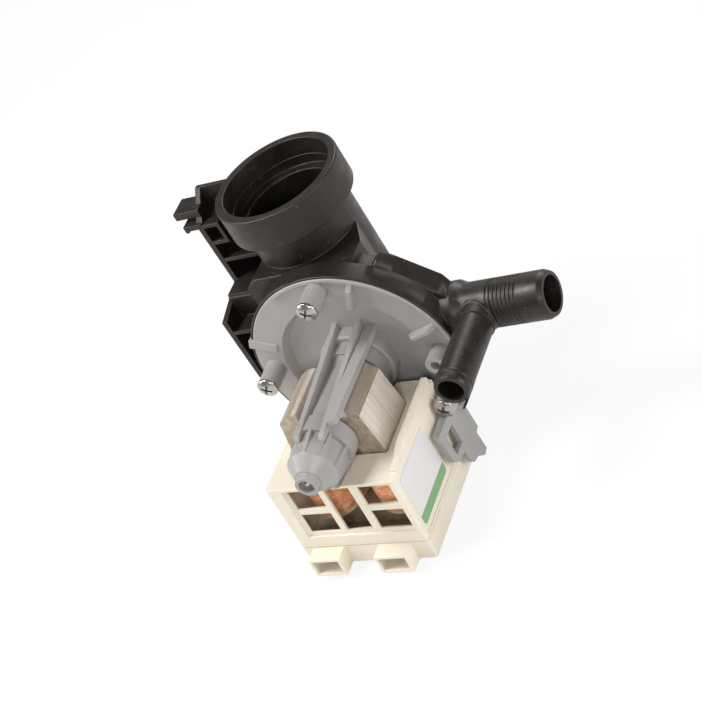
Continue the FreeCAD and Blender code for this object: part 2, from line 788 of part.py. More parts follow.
def biarc(p0, t0, p1, t1):
    # Two arcs from p0 to p1 that leave along t0 and arrive along t1
    chord = p1 - p0
    total = t0 + t1
    a = 2 * (1 - t0.dot(t1))
    b = chord.dot(total)
    d = (-b + math.sqrt(b * b + a * chord.dot(chord))) / a
    q0 = p0 + t0 * d
    q1 = p1 - t1 * d
    joint = (q0 + q1) * 0.5
    arcs = []
    for start, corner, end in ((p0, q0, joint), (joint, q1, p1)):
        w = (end - start).Length / (2 * d)
        middle = (start + corner * (2 * w) + end) * (1 / (2 + 2 * w))
        arcs.append(Part.Arc(start, middle, end))
    return arcs


def winding_path():
    # The turns of the outer layer: a rising loop of half turns round the ends and quarter points at the sides
    x, y = leg_centre()
    z0, z1 = winding_span()
    low = z0 + wire_radius + 0.15
    pitch = (z1 - wire_radius - 0.15 - low) / turn_count
    points = []
    tangents = []
    for i in range(4 * turn_count + 1):
        angle = i * math.pi / 2
        climb = pitch / 4
        point = V(x + coil_half_width * math.cos(angle), y + coil_half_depth * math.sin(angle), low + i * climb)
        run = V(-coil_half_width * math.sin(angle), coil_half_depth * math.cos(angle), 0)
        run.normalize()
        quarter = 0.25 * 2 * math.pi * (coil_half_width + coil_half_depth) / 2
        tangent = V(run.x, run.y, climb / quarter)
        tangent.normalize()
        points.append(point)
        tangents.append(tangent)
    arcs = []
    for i in range(len(points) - 1):
        arcs += biarc(points[i], tangents[i], points[i + 1], tangents[i + 1])
    return arcs, points, tangents, pitch


def winding_turns(side):
    arcs, points, tangents, pitch = winding_path()
    lead = 2 * wire_radius
    first = Part.LineSegment(points[0] - tangents[0] * lead, points[0])
    last = Part.LineSegment(points[-1], points[-1] + tangents[-1] * lead)
    path = Part.Wire([curve.toShape() for curve in [first] + arcs + [last]])
    ring = Part.Wire(Part.Circle(points[0] - tangents[0] * lead, tangents[0], wire_radius).toShape())
    tube = path.makePipeShell([ring], True, False)
    samples = path.discretize(40 * turn_count)
    per_turn = len(samples) // turn_count
    gap = min((samples[i] - samples[j]).Length for i in range(len(samples))
              for j in range(i + per_turn // 2, min(i + 2 * per_turn, len(samples))))
    print("winding: turns", turn_count, "pitch %.3f" % pitch,
          "least gap between turns %.3f" % (gap - 2 * wire_radius),
          "volume ratio %.4f" % (tube.Volume / (math.pi * wire_radius ** 2 * path.Length)))
    return placed_coil(tube, side)


def placed_coil(shape, side):
    return motor_turn(shape if side > 0 else shape.mirror(V(0, 0, 0), V(1, 0, 0)))


# Coil box
def box_shell():
    w = box_half_width
    outer = block(-w, w, box_front_y, box_back_y, box_seam_z + seam_gap, box_top_z)
    ridge = block(w - ridge_width, w, box_front_y + 4.5, box_back_y - 2.4, box_top_z - 1, ridge_top_z)
    slope = plate([(box_front_y, box_top_z + 1.2), (box_front_y + 10.0, box_top_z + 1.2),
                   (box_front_y + 16.0, ridge_top_z + 0.1), (box_front_y, ridge_top_z + 0.1)], "x", w - 8, w + 1)
    ridge = ridge.cut(slope)
    saddle = rod_y(trough_radius + trough_wall, box_front_y + 1, core_front_y - core_slot_gap).common(
        block(-w, w, box_front_y, box_back_y, box_seam_z, box_top_z))
    inner = block(-w + box_wall, w - box_wall, box_front_y + box_wall, box_back_y - box_wall,
                  box_seam_z - 1, box_top_z - box_wall)
    upright = [e for e in outer.Edges if e.BoundBox.ZLength > 10]
    outer = outer.makeFillet(1.0, upright)
    return fuse([fuse([outer, ridge]).cut(inner), saddle])


def grille_windows():
    front = box_front_y - 1
    back = box_front_y + box_wall + 1
    upper = window_upper_z
    lower = window_lower_z
    spans = [(window_left_x, upper), (window_left_x, lower), (window_middle_x, (lower[0], upper[1])),
             (window_right_x, upper), (window_right_x, lower)]
    return [block(x0, x1, front, back, z0, z1) for (x0, x1), (z0, z1) in spans]


def coil_box():
    slot = core_slot_gap
    panel = block(*panel_x, box_front_y - 1, box_front_y + panel_recess, *panel_z)
    tools = grille_windows() + [
        panel,
        rod_y(trough_radius, box_front_y - 1, core_front_y + 1),
        rod_y(root_step_radius + 0.6, core_back_y - 1, box_back_y + 1),
        rod_y(root_radius + 0.6, box_back_y - box_wall, box_back_y + 1),
        block(-leg_outer_x - slot, leg_outer_x + slot, core_front_y - slot, core_back_y + slot,
              box_top_z - 5, box_top_z + 1),
    ]
    side_panel = block(box_half_width - side_panel_depth, box_half_width + 1, box_front_y + side_panel_front,
                       box_back_y - side_panel_back, *side_panel_z)
    return motor_turn(cut(box_shell(), tools + [side_panel]))


def socket_hollow(x0, x1):
    back = blade_front_y + blade_length - 4
    return block(x0 + socket_wall, x1 - socket_wall, socket_front_y - 1, back, box_bottom_z + socket_wall,
                 socket_top_z - socket_wall)


def coil_box_base():
    w = box_half_width
    outer = block(-w, w, box_front_y, box_back_y - base_step, box_bottom_z, box_seam_z)
    upright = [e for e in outer.Edges if e.BoundBox.ZLength > 6]
    outer = outer.makeFillet(1.0, upright)
    inner = block(-w + box_wall, w - box_wall, box_front_y + box_wall, box_back_y - base_step - box_wall,
                  box_bottom_z + box_wall, box_seam_z + 1)
    tray = outer.cut(inner)
    back = blade_front_y + blade_length - 4 + socket_wall
    sockets = [block(x0, x1, socket_front_y, back, box_bottom_z, socket_top_z)
               for x0, x1 in (socket_left_x, socket_right_x)]
    rests = [block(x - 1.0, x + 1.0, core_front_y + 2, core_back_y - 2, box_bottom_z + 1, yoke_bottom_z - 0.2)
             for x in (-12.0, 0.0, 12.0)]
    body = fuse([tray] + sockets + rests)
    body = cut(body, [socket_hollow(*socket_left_x), socket_hollow(*socket_right_x)])
    for x0, x1 in (socket_left_x, socket_right_x):
        body = body.cut(blade((x0 + x1) / 2, 0.05))
    return motor_turn(body)


def blade(x, margin):
    z = (box_bottom_z + socket_top_z) / 2
    tip = blade_front_y
    return block(x - blade_width / 2 - margin, x + blade_width / 2 + margin,
                 tip - margin, tip + blade_length + margin,
                 z - blade_thickness / 2 - margin, z + blade_thickness / 2 + margin)


def terminal_blades():
    return motor_turn(Part.makeCompound([blade(sum(span) / 2, 0) for span in (socket_left_x, socket_right_x)]))


def thermal_fuse():
    x = leg_centre()[0]
    body = block(x - fuse_half_width, x + fuse_half_width, coil_back_y, coil_back_y + fuse_thickness,
                 coil_bottom_z + fuse_margin_z, coil_top_z - fuse_margin_z)
    return motor_turn(body.makeFillet(0.5, body.Edges))


def rating_label():
    x = box_half_width - side_panel_depth
    return motor_turn(block(x, x + label_thickness, *label_y, *label_z))


# Rotor and bearings
def rotor_shaft():
    tip = rear_bush_y - bush_length / 2 - 0.9
    end = hub_back_y + 0.8
    body = turned_y([(0, tip), (shaft_radius - 0.3, tip), (shaft_radius, tip + 0.3), (shaft_radius, end - 0.3),
                     (shaft_radius - 0.3, end), (0, end)])
    return body


def rotor_sleeve():
    return ring_y(sleeve_radius, shaft_radius, magnet_back_y - 1.6, magnet_front_y + 1.6)


def rotor_magnet():
    shape = ring_y(magnet_radius, sleeve_radius, magnet_back_y, magnet_front_y)
    rings = [e for e in shape.Edges if e.BoundBox.YLength < 0.01]
    edges = [e for e in rings if e.BoundBox.XLength > 2 * magnet_radius - 0.1]
    return shape.makeChamfer(0.5, edges)


def bush(centre):
    return ring_y(bush_radius, shaft_radius + running_gap, centre - bush_length / 2, centre + bush_length / 2)


def bush_mount(centre, outer):
    return ring_y(outer, bush_radius, centre - bush_length / 2 + 0.6, centre + bush_length / 2 - 0.6)


def thrust_washer(y0):
    return ring_y(washer_radius, shaft_radius + running_gap, y0, y0 + washer_thickness)


def bearing_carrier():
    outer = can_radius - can_wall - carrier_gap
    front = front_bush_y - bush_length / 2
    body = rod_y(outer, front, carrier_front_y)
    pocket = rod_y(mount_radius, front - 1, front_bush_y + bush_length / 2 + mount_gap)
    seal_pocket = rod_y(lip_seal_radius, carrier_front_y - lip_seal_length, carrier_front_y + 1)
    passage = rod_y(shaft_radius + 0.6, front - 1, carrier_front_y + 1)
    return cut(body, [pocket, seal_pocket, passage])


def shaft_seal():
    return ring_y(lip_seal_radius, shaft_radius + running_gap, carrier_front_y - lip_seal_length, carrier_front_y)


def end_pin():
    back = rear_bush_y - bush_length / 2 - 1.3
    return turned_y([(0, nose_y + 0.5), (pin_radius, nose_y + 2.0), (pin_radius, back), (0, back)])


def drive_dog():
    y0 = impeller_plate_y + impeller_plate + dog_clearance
    y1 = hub_back_y - hub_cap_base - dog_clearance
    hub = ring_y(dog_hub_radius, shaft_radius, y0, y1)
    half = dog_deg / 2
    key = sector(dog_radius, y0, y1, dog_place_deg - half, dog_place_deg + half)
    key = key.cut(rod_y(shaft_radius, y0 - 1, y1 + 1))
    return fuse([hub, key])


def vane(deg):
    # A backward-swept vane as a bent plate between the hub and the impeller's edge
    inner, outer = hub_radius - 0.8, impeller_radius
    x0, z0 = on_circle(inner, 0)
    x1, z1 = on_circle(outer, -vane_sweep_deg)
    xm, zm = on_circle((inner + outer) / 2 + vane_bulge, -vane_middle_deg)
    centre_line = Part.Arc(V(x0, 0, z0), V(xm, 0, zm), V(x1, 0, z1))
    curve = centre_line.toShape()
    band = Part.Wire(curve).makeOffset2D(vane_thickness / 2, 0, False, True)
    other = Part.Wire(curve).makeOffset2D(-vane_thickness / 2, 0, False, True)
    a = [v.Point for v in band.Vertexes]
    b = [v.Point for v in other.Vertexes]
    face = Part.Face(Part.Wire(Part.__sortEdges__(band.Edges + other.Edges + [
        Part.LineSegment(nearest(a, V(x0, 0, z0)), nearest(b, V(x0, 0, z0))).toShape(),
        Part.LineSegment(nearest(a, V(x1, 0, z1)), nearest(b, V(x1, 0, z1))).toShape()])))
    y0 = impeller_plate_y + impeller_plate - 0.1
    shape = face.translated(V(0, y0, 0)).extrude(V(0, blade_tip_y - y0, 0))
    shape.rotate(V(0, 0, 0), V(0, 1, 0), deg)
    return shape


def nearest(points, target):
    return min(points, key=lambda p: (p - target).Length)


def impeller():
    plate_disc = rod_y(impeller_radius, impeller_plate_y, impeller_plate_y + impeller_plate)
    hub = rod_y(hub_radius, impeller_plate_y, hub_back_y - hub_cap_base)
    vanes = [vane(360 / blade_count * i) for i in range(blade_count)]
    shape = fuse([plate_disc, hub] + vanes)
    cavity_y = impeller_plate_y + impeller_plate
    half = stop_deg / 2
    cavity = rod_y(hub_cavity, cavity_y, hub_back_y).cut(
        sector(hub_cavity + 1, cavity_y - 1, hub_back_y + 1, stop_place_deg - half, stop_place_deg + half).cut(
            rod_y(dog_hub_radius + dog_clearance, cavity_y - 2, hub_back_y + 2)))
    bore = rod_y(shaft_radius + running_gap, impeller_plate_y - 1, cavity_y + 1)
    cap_seat = rod_y(hub_radius + 0.1, hub_back_y - hub_cap_base, blade_tip_y + 1)
    return cut(shape, [cavity, bore, cap_seat])


def hub_cap():
    base = hub_back_y - hub_cap_base
    dome = turned_y([(0, base), (hub_radius, base), (hub_radius, base + 1.0),
                     (hub_radius - 1.6, base + cap_dome - 0.8), (hub_radius - 4.2, base + cap_dome),
                     (0, base + cap_dome)])
    return dome.cut(rod_y(shaft_radius + running_gap, base - 1, hub_back_y + 1.2))


def export(name, shape):
    moved = shape.copy()
    moved.translate(V(-inlet_x, -inlet_y, -inlet_rim_z))
    box = moved.BoundBox
    spans = (box.XMin, box.XMax, box.YMin, box.YMax, box.ZMin, box.ZMax)
    print("%-20s solids %d valid %s volume %9.1f " % (name, len(moved.Solids), moved.isValid(), moved.Volume),
          "x %.1f..%.1f y %.1f..%.1f z %.1f..%.1f" % spans)
    moved.exportStep("parts/%s.step" % name)


def main():
    for name, shape in housing().items():
        export(name, shape)
    export("motor_flange", motor_flange())
    export("flange_seal", flange_seal())
    export("flange_screws", flange_screws())
    export("stator_core", stator_core())
    for name, side in (("left", -1), ("right", 1)):
        export("coil_bobbin_" + name, coil_bobbin(side))
        export("coil_core_" + name, winding_core(side))
        export("coil_turns_" + name, winding_turns(side))
    export("thermal_fuse", thermal_fuse())
    export("coil_box", coil_box())
    export("coil_box_base", coil_box_base())
    export("terminal_blades", terminal_blades())
    export("rating_label", rating_label())
    export("bearing_carrier", bearing_carrier())
    export("shaft_seal", shaft_seal())
    export("front_bush", bush(front_bush_y))
    export("front_bush_mount", bush_mount(front_bush_y, mount_radius))
    export("rear_bush", bush(rear_bush_y))
    export("rear_bush_mount", bush_mount(rear_bush_y, mount_radius))
    export("end_pin", end_pin())
    export("rotor_shaft", rotor_shaft())
    export("rotor_sleeve", rotor_sleeve())
    export("rotor_magnet", rotor_magnet())
    export("rear_washer", thrust_washer(magnet_back_y - 1.6 - washer_thickness))
    export("front_washer", thrust_washer(magnet_front_y + 1.6))
    export("drive_dog", drive_dog())
    export("impeller", impeller())
    export("hub_cap", hub_cap())


main()
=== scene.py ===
import bpy
import bmesh
import math
import random
from mathutils import Matrix, Vector, noise
from mathutils.bvhtree import BVHTree
from mathutils.geometry import intersect_point_line


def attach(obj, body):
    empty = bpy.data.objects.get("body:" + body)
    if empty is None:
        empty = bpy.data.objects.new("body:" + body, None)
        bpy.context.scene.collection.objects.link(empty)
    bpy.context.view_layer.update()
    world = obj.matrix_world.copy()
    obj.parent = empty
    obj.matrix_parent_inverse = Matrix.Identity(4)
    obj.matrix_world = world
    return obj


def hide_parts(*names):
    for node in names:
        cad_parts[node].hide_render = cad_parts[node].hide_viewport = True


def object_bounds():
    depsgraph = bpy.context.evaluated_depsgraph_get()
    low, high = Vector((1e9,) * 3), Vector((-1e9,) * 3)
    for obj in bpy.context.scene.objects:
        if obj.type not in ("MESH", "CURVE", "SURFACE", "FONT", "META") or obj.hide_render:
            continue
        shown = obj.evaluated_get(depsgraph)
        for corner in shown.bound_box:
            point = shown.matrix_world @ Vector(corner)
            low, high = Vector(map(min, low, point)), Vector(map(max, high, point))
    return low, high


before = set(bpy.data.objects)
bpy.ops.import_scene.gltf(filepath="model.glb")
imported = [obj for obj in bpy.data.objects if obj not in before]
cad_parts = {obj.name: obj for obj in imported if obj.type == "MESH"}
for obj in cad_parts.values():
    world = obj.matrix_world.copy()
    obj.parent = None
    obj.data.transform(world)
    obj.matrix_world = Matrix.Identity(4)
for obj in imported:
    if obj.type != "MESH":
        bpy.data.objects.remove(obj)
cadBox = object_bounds()
print("frame loaded:", len(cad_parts), "nodes")

# Pieces are drawn in millimetres about the rotor, whose axis is Y, then moved to the frame's origin
mm = 0.001
inletMouth = Vector((-11.8, 32.0, 65.0))
motorTurn = math.radians(2.8)  # the motor sits a little turned in its flange


def toFrame(turned=False):
    turn = Matrix.Rotation(motorTurn, 4, "Y") if turned else Matrix.Identity(4)
    return Matrix.Scale(mm, 4) @ Matrix.Translation(-inletMouth) @ turn


# Camera, at the photograph's angle, in millimetres
cameraSet = {"place": (401.27, -503.92, 340.21), "aim": (9.90, -29.94, -60.70), "roll": -33.32, "lens": 104.55}


def makeCamera():
    data = bpy.data.cameras.new("camera")
    data.lens = cameraSet["lens"]
    data.sensor_width = 36.0
    data.clip_start = 0.01
    data.clip_end = 20.0
    camera = bpy.data.objects.new("camera", data)
    bpy.context.scene.collection.objects.link(camera)
    place = Vector(cameraSet["place"]) * mm
    aim = Vector(cameraSet["aim"]) * mm
    roll = Matrix.Rotation(math.radians(cameraSet["roll"]), 3, "Z").to_quaternion()
    camera.rotation_mode = "QUATERNION"
    camera.location = place
    camera.rotation_quaternion = (aim - place).to_track_quat("-Z", "Y") @ roll
    bpy.context.scene.camera = camera
    print("camera placed")


# Shader maths
class Wire:
    # one output socket; sums, products and comparisons add Math nodes
    def __init__(self, paint, socket):
        self.paint = paint
        self.socket = socket

    def math(self, operation, *values):
        return self.paint.add("ShaderNodeMath", {"operation": operation}, dict(enumerate(values)))[0]

    def __add__(self, other):
        return self.math("ADD", self, other)

    def __radd__(self, other):
        return self.math("ADD", other, self)

    def __sub__(self, other):
        return self.math("SUBTRACT", self, other)

    def __rsub__(self, other):
        return self.math("SUBTRACT", other, self)

    def __mul__(self, other):
        return self.math("MULTIPLY", self, other)

    def __rmul__(self, other):
        return self.math("MULTIPLY", other, self)

    def __gt__(self, other):
        return self.math("GREATER_THAN", self, other)

    def __lt__(self, other):
        return self.math("LESS_THAN", self, other)

    def waves(self, length):
        # 0 to 1 and back, once every length
        return self.math("SINE", self * (2 * math.pi / length)) * 0.5 + 0.5

    def size(self):
        return self.math("ABSOLUTE", self)

    def capped(self):
        return self.math("MINIMUM", self, 1.0)


class Outputs:
    def __init__(self, paint, node):
        self.paint = paint
        self.node = node

    def __getitem__(self, key):
        return Wire(self.paint, self.node.outputs[key])


class Paint:
    # one material and its nodes
    socketNames = {"colour": "Base Color", "roughness": "Roughness", "metallic": "Metallic", "coat": "Coat Weight",
                   "normal": "Normal", "specular": "Specular IOR Level", "tint": "Specular Tint"}

    def __init__(self, name):
        self.material = bpy.data.materials.new(name)
        self.material.use_nodes = True
        self.tree = self.material.node_tree
        self.shader = self.tree.nodes["Principled BSDF"]

    def add(self, kind, settings=None, sockets=None):
        node = self.tree.nodes.new(kind)
        for key, value in (settings or {}).items():
            if key == "stops":
                self.setStops(node.color_ramp, value)
            else:
                setattr(node, key, value)
        for key, value in (sockets or {}).items():
            self.feed(node.inputs[key], value)
        return Outputs(self, node)

    def setStops(self, ramp, stops):
        while len(ramp.elements) < len(stops):
            ramp.elements.new(0.5)
        for element, (place, colour) in zip(ramp.elements, stops):
            element.position = place
            element.color = (*colour, 1.0)

    def feed(self, socket, value):
        if isinstance(value, Wire):
            self.tree.links.new(value.socket, socket)
        elif socket.type == "RGBA":
            socket.default_value = (*value, 1.0)
        else:
            socket.default_value = value

    def set(self, **values):
        for key, value in values.items():
            self.feed(self.shader.inputs[self.socketNames[key]], value)

    def place(self):
        return self.add("ShaderNodeTexCoord")["Object"]

    def stretched(self, scale):
        return self.add("ShaderNodeMapping", {}, {"Vector": self.place(), "Scale": scale})["Vector"]

    def noise(self, scale, detail=2.0, roughness=0.5, place=None):
        sockets = {"Vector": place or self.place(), "Scale": scale, "Detail": detail, "Roughness": roughness}
        return self.add("ShaderNodeTexNoise", {}, sockets)["Fac"]

    def axis(self, name):
        return self.add("ShaderNodeSeparateXYZ", {}, {0: self.place()})[name]

    def facing(self, name):
        way = self.add("ShaderNodeNewGeometry")["Normal"]
        return self.add("ShaderNodeSeparateXYZ", {}, {0: way})[name]

    def mix(self, amount, first, second):
        sockets = {"Factor": amount, 6: first, 7: second}
        return self.add("ShaderNodeMix", {"data_type": "RGBA"}, sockets)[2]

    def bump(self, height, strength, distance):
        return self.add("ShaderNodeBump", {}, {"Height": height, "Strength": strength, "Distance": distance})["Normal"]

    def ramp(self, value, stops):
        return self.add("ShaderNodeValToRGB", {"stops": stops}, {0: value})["Color"]

    def spread(self, value, low, high, start=0.0, end=1.0):
        sockets = {"Value": value, "From Min": low, "From Max": high, "To Min": start, "To Max": end}
        return self.add("ShaderNodeMapRange", {"clamp": True}, sockets)["Result"]


# Moulded plastics: cloudy colour, fine spark-eroded grain, a few specks of dust
blackPlastic = {"colour": (0.0150, 0.0127, 0.0112), "shade": (0.0100, 0.0086, 0.0077), "roughness": 0.45,
                "wear": 0.08, "grain": 2600.0, "grainDepth": 0.000012, "dust": 0.6, "dustColour": (0.12, 0.105, 0.09),
                "tint": (1.0, 0.89, 0.81)}
grayPlastic = {"colour": (0.345, 0.330, 0.318), "shade": (0.310, 0.297, 0.286), "roughness": 0.40, "wear": 0.07,
               "grain": 2400.0, "grainDepth": 0.000010, "dust": 0.20, "dustColour": (0.42, 0.41, 0.40)}
creamPlastic = {"colour": (0.800, 0.738, 0.620), "shade": (0.765, 0.688, 0.555), "roughness": 0.40, "wear": 0.07,
                "grain": 2200.0, "grainDepth": 0.000010, "dust": 0.25, "dustColour": (0.50, 0.40, 0.26)}
bobbinPlastic = {"colour": (0.78, 0.62, 0.42), "shade": (0.70, 0.53, 0.34), "roughness": 0.45, "wear": 0.06,
                 "grain": 2200.0, "grainDepth": 0.000010, "dust": 0.1, "dustColour": (0.30, 0.22, 0.12)}
darkPlastic = {"colour": (0.025, 0.024, 0.024), "shade": (0.016, 0.016, 0.016), "roughness": 0.45, "wear": 0.05,
               "grain": 2600.0, "grainDepth": 0.000010, "dust": 0.1, "dustColour": (0.12, 0.11, 0.10)}
palePlastic = {"colour": (0.74, 0.72, 0.66), "shade": (0.66, 0.64, 0.58), "roughness": 0.40, "wear": 0.06,
               "grain": 2200.0, "grainDepth": 0.000010, "dust": 0.1, "dustColour": (0.40, 0.36, 0.30)}
sinteredBush = {"colour": (0.29, 0.26, 0.22), "shade": (0.21, 0.19, 0.16), "roughness": 0.58, "wear": 0.08,
                "grain": 1700.0, "grainDepth": 0.000030, "dust": 0.4, "dustColour": (0.14, 0.12, 0.10)}


def mouldedPlastic(name, look):
    paint = Paint(name)
    cloud = paint.noise(38.0, 3.0)
    colour = paint.mix(paint.spread(cloud, 0.35, 0.70), look["shade"], look["colour"])
    specks = paint.noise(1100.0, 0.0) > 0.79
    patches = paint.noise(70.0, 1.0) > 0.46
    colour = paint.mix(specks * patches * look["dust"], colour, look["dustColour"])
    wear = paint.spread(paint.noise(160.0), 0.3, 0.7, -look["wear"], look["wear"])
    paint.set(colour=colour, roughness=wear + look["roughness"], tint=look.get("tint", (1.0, 1.0, 1.0)))
    paint.set(normal=paint.bump(paint.noise(look["grain"]), 0.6, look["grainDepth"]))
    return paint.material


# Laminated core: a sheet every half millimetre along Y, oxide on the cut ends, brushed bright on the sides, and a
# painted highlight in sheet stripes on the upward faces
sheetSteel = {"pitch": 0.0005, "end": (0.36, 0.285, 0.205), "side": (0.92, 0.84, 0.74), "top": (0.46, 0.37, 0.27),
              "burr": (0.82, 0.76, 0.66), "joint": (0.10, 0.075, 0.055), "rust": (0.40, 0.21, 0.09),
              "brushed": (0.94, 0.88, 0.80), "dull": (0.54, 0.46, 0.38)}


def laminatedSteel():
    look = sheetSteel
    paint = Paint("laminated steel")
    sheets = paint.axis("Y").waves(look["pitch"])
    brush = paint.noise(420.0, 3.0, 0.6, paint.stretched((1.0, 0.05, 1.0)))
    cloud = paint.noise(90.0, 4.0, 0.6)
    sideways = paint.spread(paint.facing("X").size(), 0.80, 0.97)
    upwardHighlight = paint.spread(paint.facing("Z"), 0.985, 0.998)
    endways = paint.spread(paint.facing("Y").size(), 0.7, 0.9)
    colour = paint.mix(sideways, look["top"], look["side"])
    # painted highlight: faces that look straight up are lightened in stripes, one per sheet
    colour = paint.mix(upwardHighlight * paint.spread(sheets, 0.35, 0.6), colour, look["burr"])
    colour = paint.mix(endways, colour, look["end"])
    colour = paint.mix(paint.spread(brush, 0.35, 0.7) * 0.35, colour, look["brushed"])
    colour = paint.mix(paint.spread(cloud, 0.55, 0.85) * 0.5, colour, look["rust"])
    joints = paint.spread(sheets, 0.0, 0.25, 1.0, 0.0) * (1 - endways)
    colour = paint.mix(joints * 0.6, colour, look["joint"])
    tone = paint.noise(1400.0, 2.0, 0.7, paint.stretched((0.02, 1.0, 0.02)))
    colour = paint.mix(paint.spread(tone, 0.40, 0.62, 0.0, 0.42) * (1 - endways), colour, look["dull"])
    paint.set(colour=colour, metallic=0.50, roughness=paint.spread(brush, 0.3, 0.7, 0.34, 0.50))
    paint.set(normal=paint.bump(brush, 0.25, 0.00002))
    return paint.material


def platedMetal(name, colour, roughness, scratch=500.0):
    paint = Paint(name)
    fine = paint.noise(scratch, 3.0)
    cloud = paint.noise(80.0)
    shade = tuple(part * 0.78 for part in colour)
    paint.set(colour=paint.mix(paint.spread(cloud, 0.3, 0.7), shade, colour), metallic=1.0)
    paint.set(roughness=paint.spread(fine, 0.3, 0.7, roughness * 0.8, roughness * 1.3))
    paint.set(normal=paint.bump(fine, 0.25, 0.00001))
    return paint.material


# Enamelled wire
copperLook = {"deep": (0.82, 0.28, 0.11), "mid": (0.97, 0.47, 0.22), "bright": (1.0, 0.72, 0.46)}


def enamelledCopper():
    paint = Paint("enamelled copper")
    strand = paint.noise(900.0, 2.0, 0.5, paint.stretched((0.5, 0.25, 1.4)))
    cloud = paint.noise(120.0)
    stops = [(0.30, copperLook["deep"]), (0.50, copperLook["mid"]), (0.68, copperLook["bright"])]
    colour = paint.mix(paint.spread(cloud, 0.45, 0.75) * 0.45, paint.ramp(strand, stops), copperLook["deep"])
    paint.set(colour=colour, metallic=0.10, roughness=0.30, coat=0.4)
    paint.set(normal=paint.bump(strand, 0.2, 0.00002))
    return paint.material


innerLook = {"pitch": 0.00035, "deep": (0.78, 0.30, 0.13), "bright": (0.96, 0.50, 0.26), "line": (0.34, 0.10, 0.035)}


def innerWindings():
    look = innerLook
    paint = Paint("inner windings")
    lines = paint.axis("Z").waves(look["pitch"])
    cloud = paint.noise(140.0, 3.0)
    colour = paint.ramp(cloud, [(0.3, look["deep"]), (0.7, look["bright"])])
    paint.set(colour=paint.mix(lines * 0.3, colour, look["line"]), metallic=0.10, roughness=0.40)
    paint.set(normal=paint.bump(lines, 0.5, 0.00008))
    return paint.material


def softRubber():
    paint = Paint("rubber")
    cloud = paint.noise(200.0, 3.0)
    paint.set(colour=paint.mix(cloud, (0.012, 0.012, 0.012), (0.028, 0.027, 0.026)))
    paint.set(roughness=paint.spread(cloud, 0.3, 0.7, 0.60, 0.75), normal=paint.bump(cloud, 0.2, 0.00003))
    return paint.material


def darkFerrite():
    paint = Paint("ferrite")
    grit = paint.noise(1400.0, 4.0, 0.7)
    paint.set(colour=paint.mix(grit, (0.035, 0.035, 0.038), (0.09, 0.09, 0.095)), metallic=0.2)
    paint.set(roughness=paint.spread(grit, 0.3, 0.7, 0.42, 0.62), normal=paint.bump(grit, 0.3, 0.00002))
    return paint.material


def printedFilm(name, colour):
    paint = Paint(name)
    cloud = paint.noise(150.0)
    ripple = paint.noise(45.0, 1.0)
    shade = tuple(part * 0.94 for part in colour)
    paint.set(colour=paint.mix(cloud, shade, colour), roughness=paint.spread(cloud, 0.3, 0.7, 0.30, 0.38), coat=0.15)
    paint.set(normal=paint.bump(ripple, 0.3, 0.00015))
    return paint.material


def makeFinishes():
    finishes = {
        "black": mouldedPlastic("black plastic", blackPlastic),
        "gray": mouldedPlastic("gray plastic", grayPlastic),
        "cream": mouldedPlastic("cream plastic", creamPlastic),
        "bobbin": mouldedPlastic("bobbin plastic", bobbinPlastic),
        "dark": mouldedPlastic("dark plastic", darkPlastic),
        "pale": mouldedPlastic("impeller plastic", palePlastic),
        "bush": mouldedPlastic("sintered bush", sinteredBush),
        "steel": laminatedSteel(),
        "zinc": platedMetal("zinc plate", (0.56, 0.535, 0.50), 0.26),
        # painted shade for the screws' cross recess
        "recess": platedMetal("zinc darkened as recess shade", (0.26, 0.29, 0.31), 0.36),
        "shaft": platedMetal("ground steel", (0.48, 0.47, 0.46), 0.34),
        "brass": platedMetal("tinned brass", (0.74, 0.70, 0.58), 0.30),
        "copper": enamelledCopper(),
        "winding": innerWindings(),
        "rubber": softRubber(),
        "ferrite": darkFerrite(),
        "film": printedFilm("label film", (0.735, 0.700, 0.700)),
        "band": printedFilm("band ink", (0.160, 0.365, 0.145)),
    }
    print("finishes made:", len(finishes))
    return finishes


# Which finish each node of the frame takes
nodeFinish = {
    "volute_housing": "black", "inlet_pipe": "black", "outlet_pipe": "black", "holding_bracket": "black",
    "motor_flange": "gray", "flange_seal": "rubber", "flange_screws": "zinc", "stator_core": "steel",
    "coil_bobbin_left": "bobbin", "coil_bobbin_right": "bobbin", "coil_core_left": "winding",
    "coil_core_right": "winding", "coil_turns_left": "copper", "coil_turns_right": "copper", "thermal_fuse": "dark",
    "coil_box": "cream", "coil_box_base": "cream", "terminal_blades": "brass", "rating_label": "film",
    "bearing_carrier": "gray", "shaft_seal": "rubber", "front_bush": "bush", "front_bush_mount": "rubber",
    "rear_bush": "bush", "rear_bush_mount": "rubber", "end_pin": "shaft", "rotor_shaft": "shaft",
    "rotor_sleeve": "dark", "rotor_magnet": "ferrite", "rear_washer": "bush", "front_washer": "bush",
    "drive_dog": "dark", "impeller": "pale", "hub_cap": "pale",
}


def dressNodes(finishes):
    for name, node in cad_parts.items():
        node.data.materials.clear()
        node.data.materials.append(finishes[nodeFinish[name]])
    print("frame nodes dressed")


# Pieces
def newPiece(name, bm, finishes, body="pump_body", crease=35.0, weighted=False):
    mesh = bpy.data.meshes.new(name)
    bm.to_mesh(mesh)
    bm.free()
    for face in mesh.polygons:
        face.use_smooth = True
    mesh.set_sharp_from_angle(angle=math.radians(crease))
    for finish in finishes:
        mesh.materials.append(finish)
    piece = bpy.data.objects.new(name, mesh)
    bpy.context.scene.collection.objects.link(piece)
    if weighted:
        even = piece.modifiers.new("even shading", "WEIGHTED_NORMAL")
        even.keep_sharp = True
    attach(piece, body)
    return piece


# Joining and rounding: lengths in millimetres, shares of the rounding's width, angle in degrees
roundingSet = {"joined": 0.004, "sliver": 0.002, "flatAngle": 0.8, "shared": 0.05, "smallestArea": 0.004,
               "gapShare": 0.5, "strayShare": 0.6, "turned": 0.2, "reachShare": 1.2, "reachStep": 0.3}


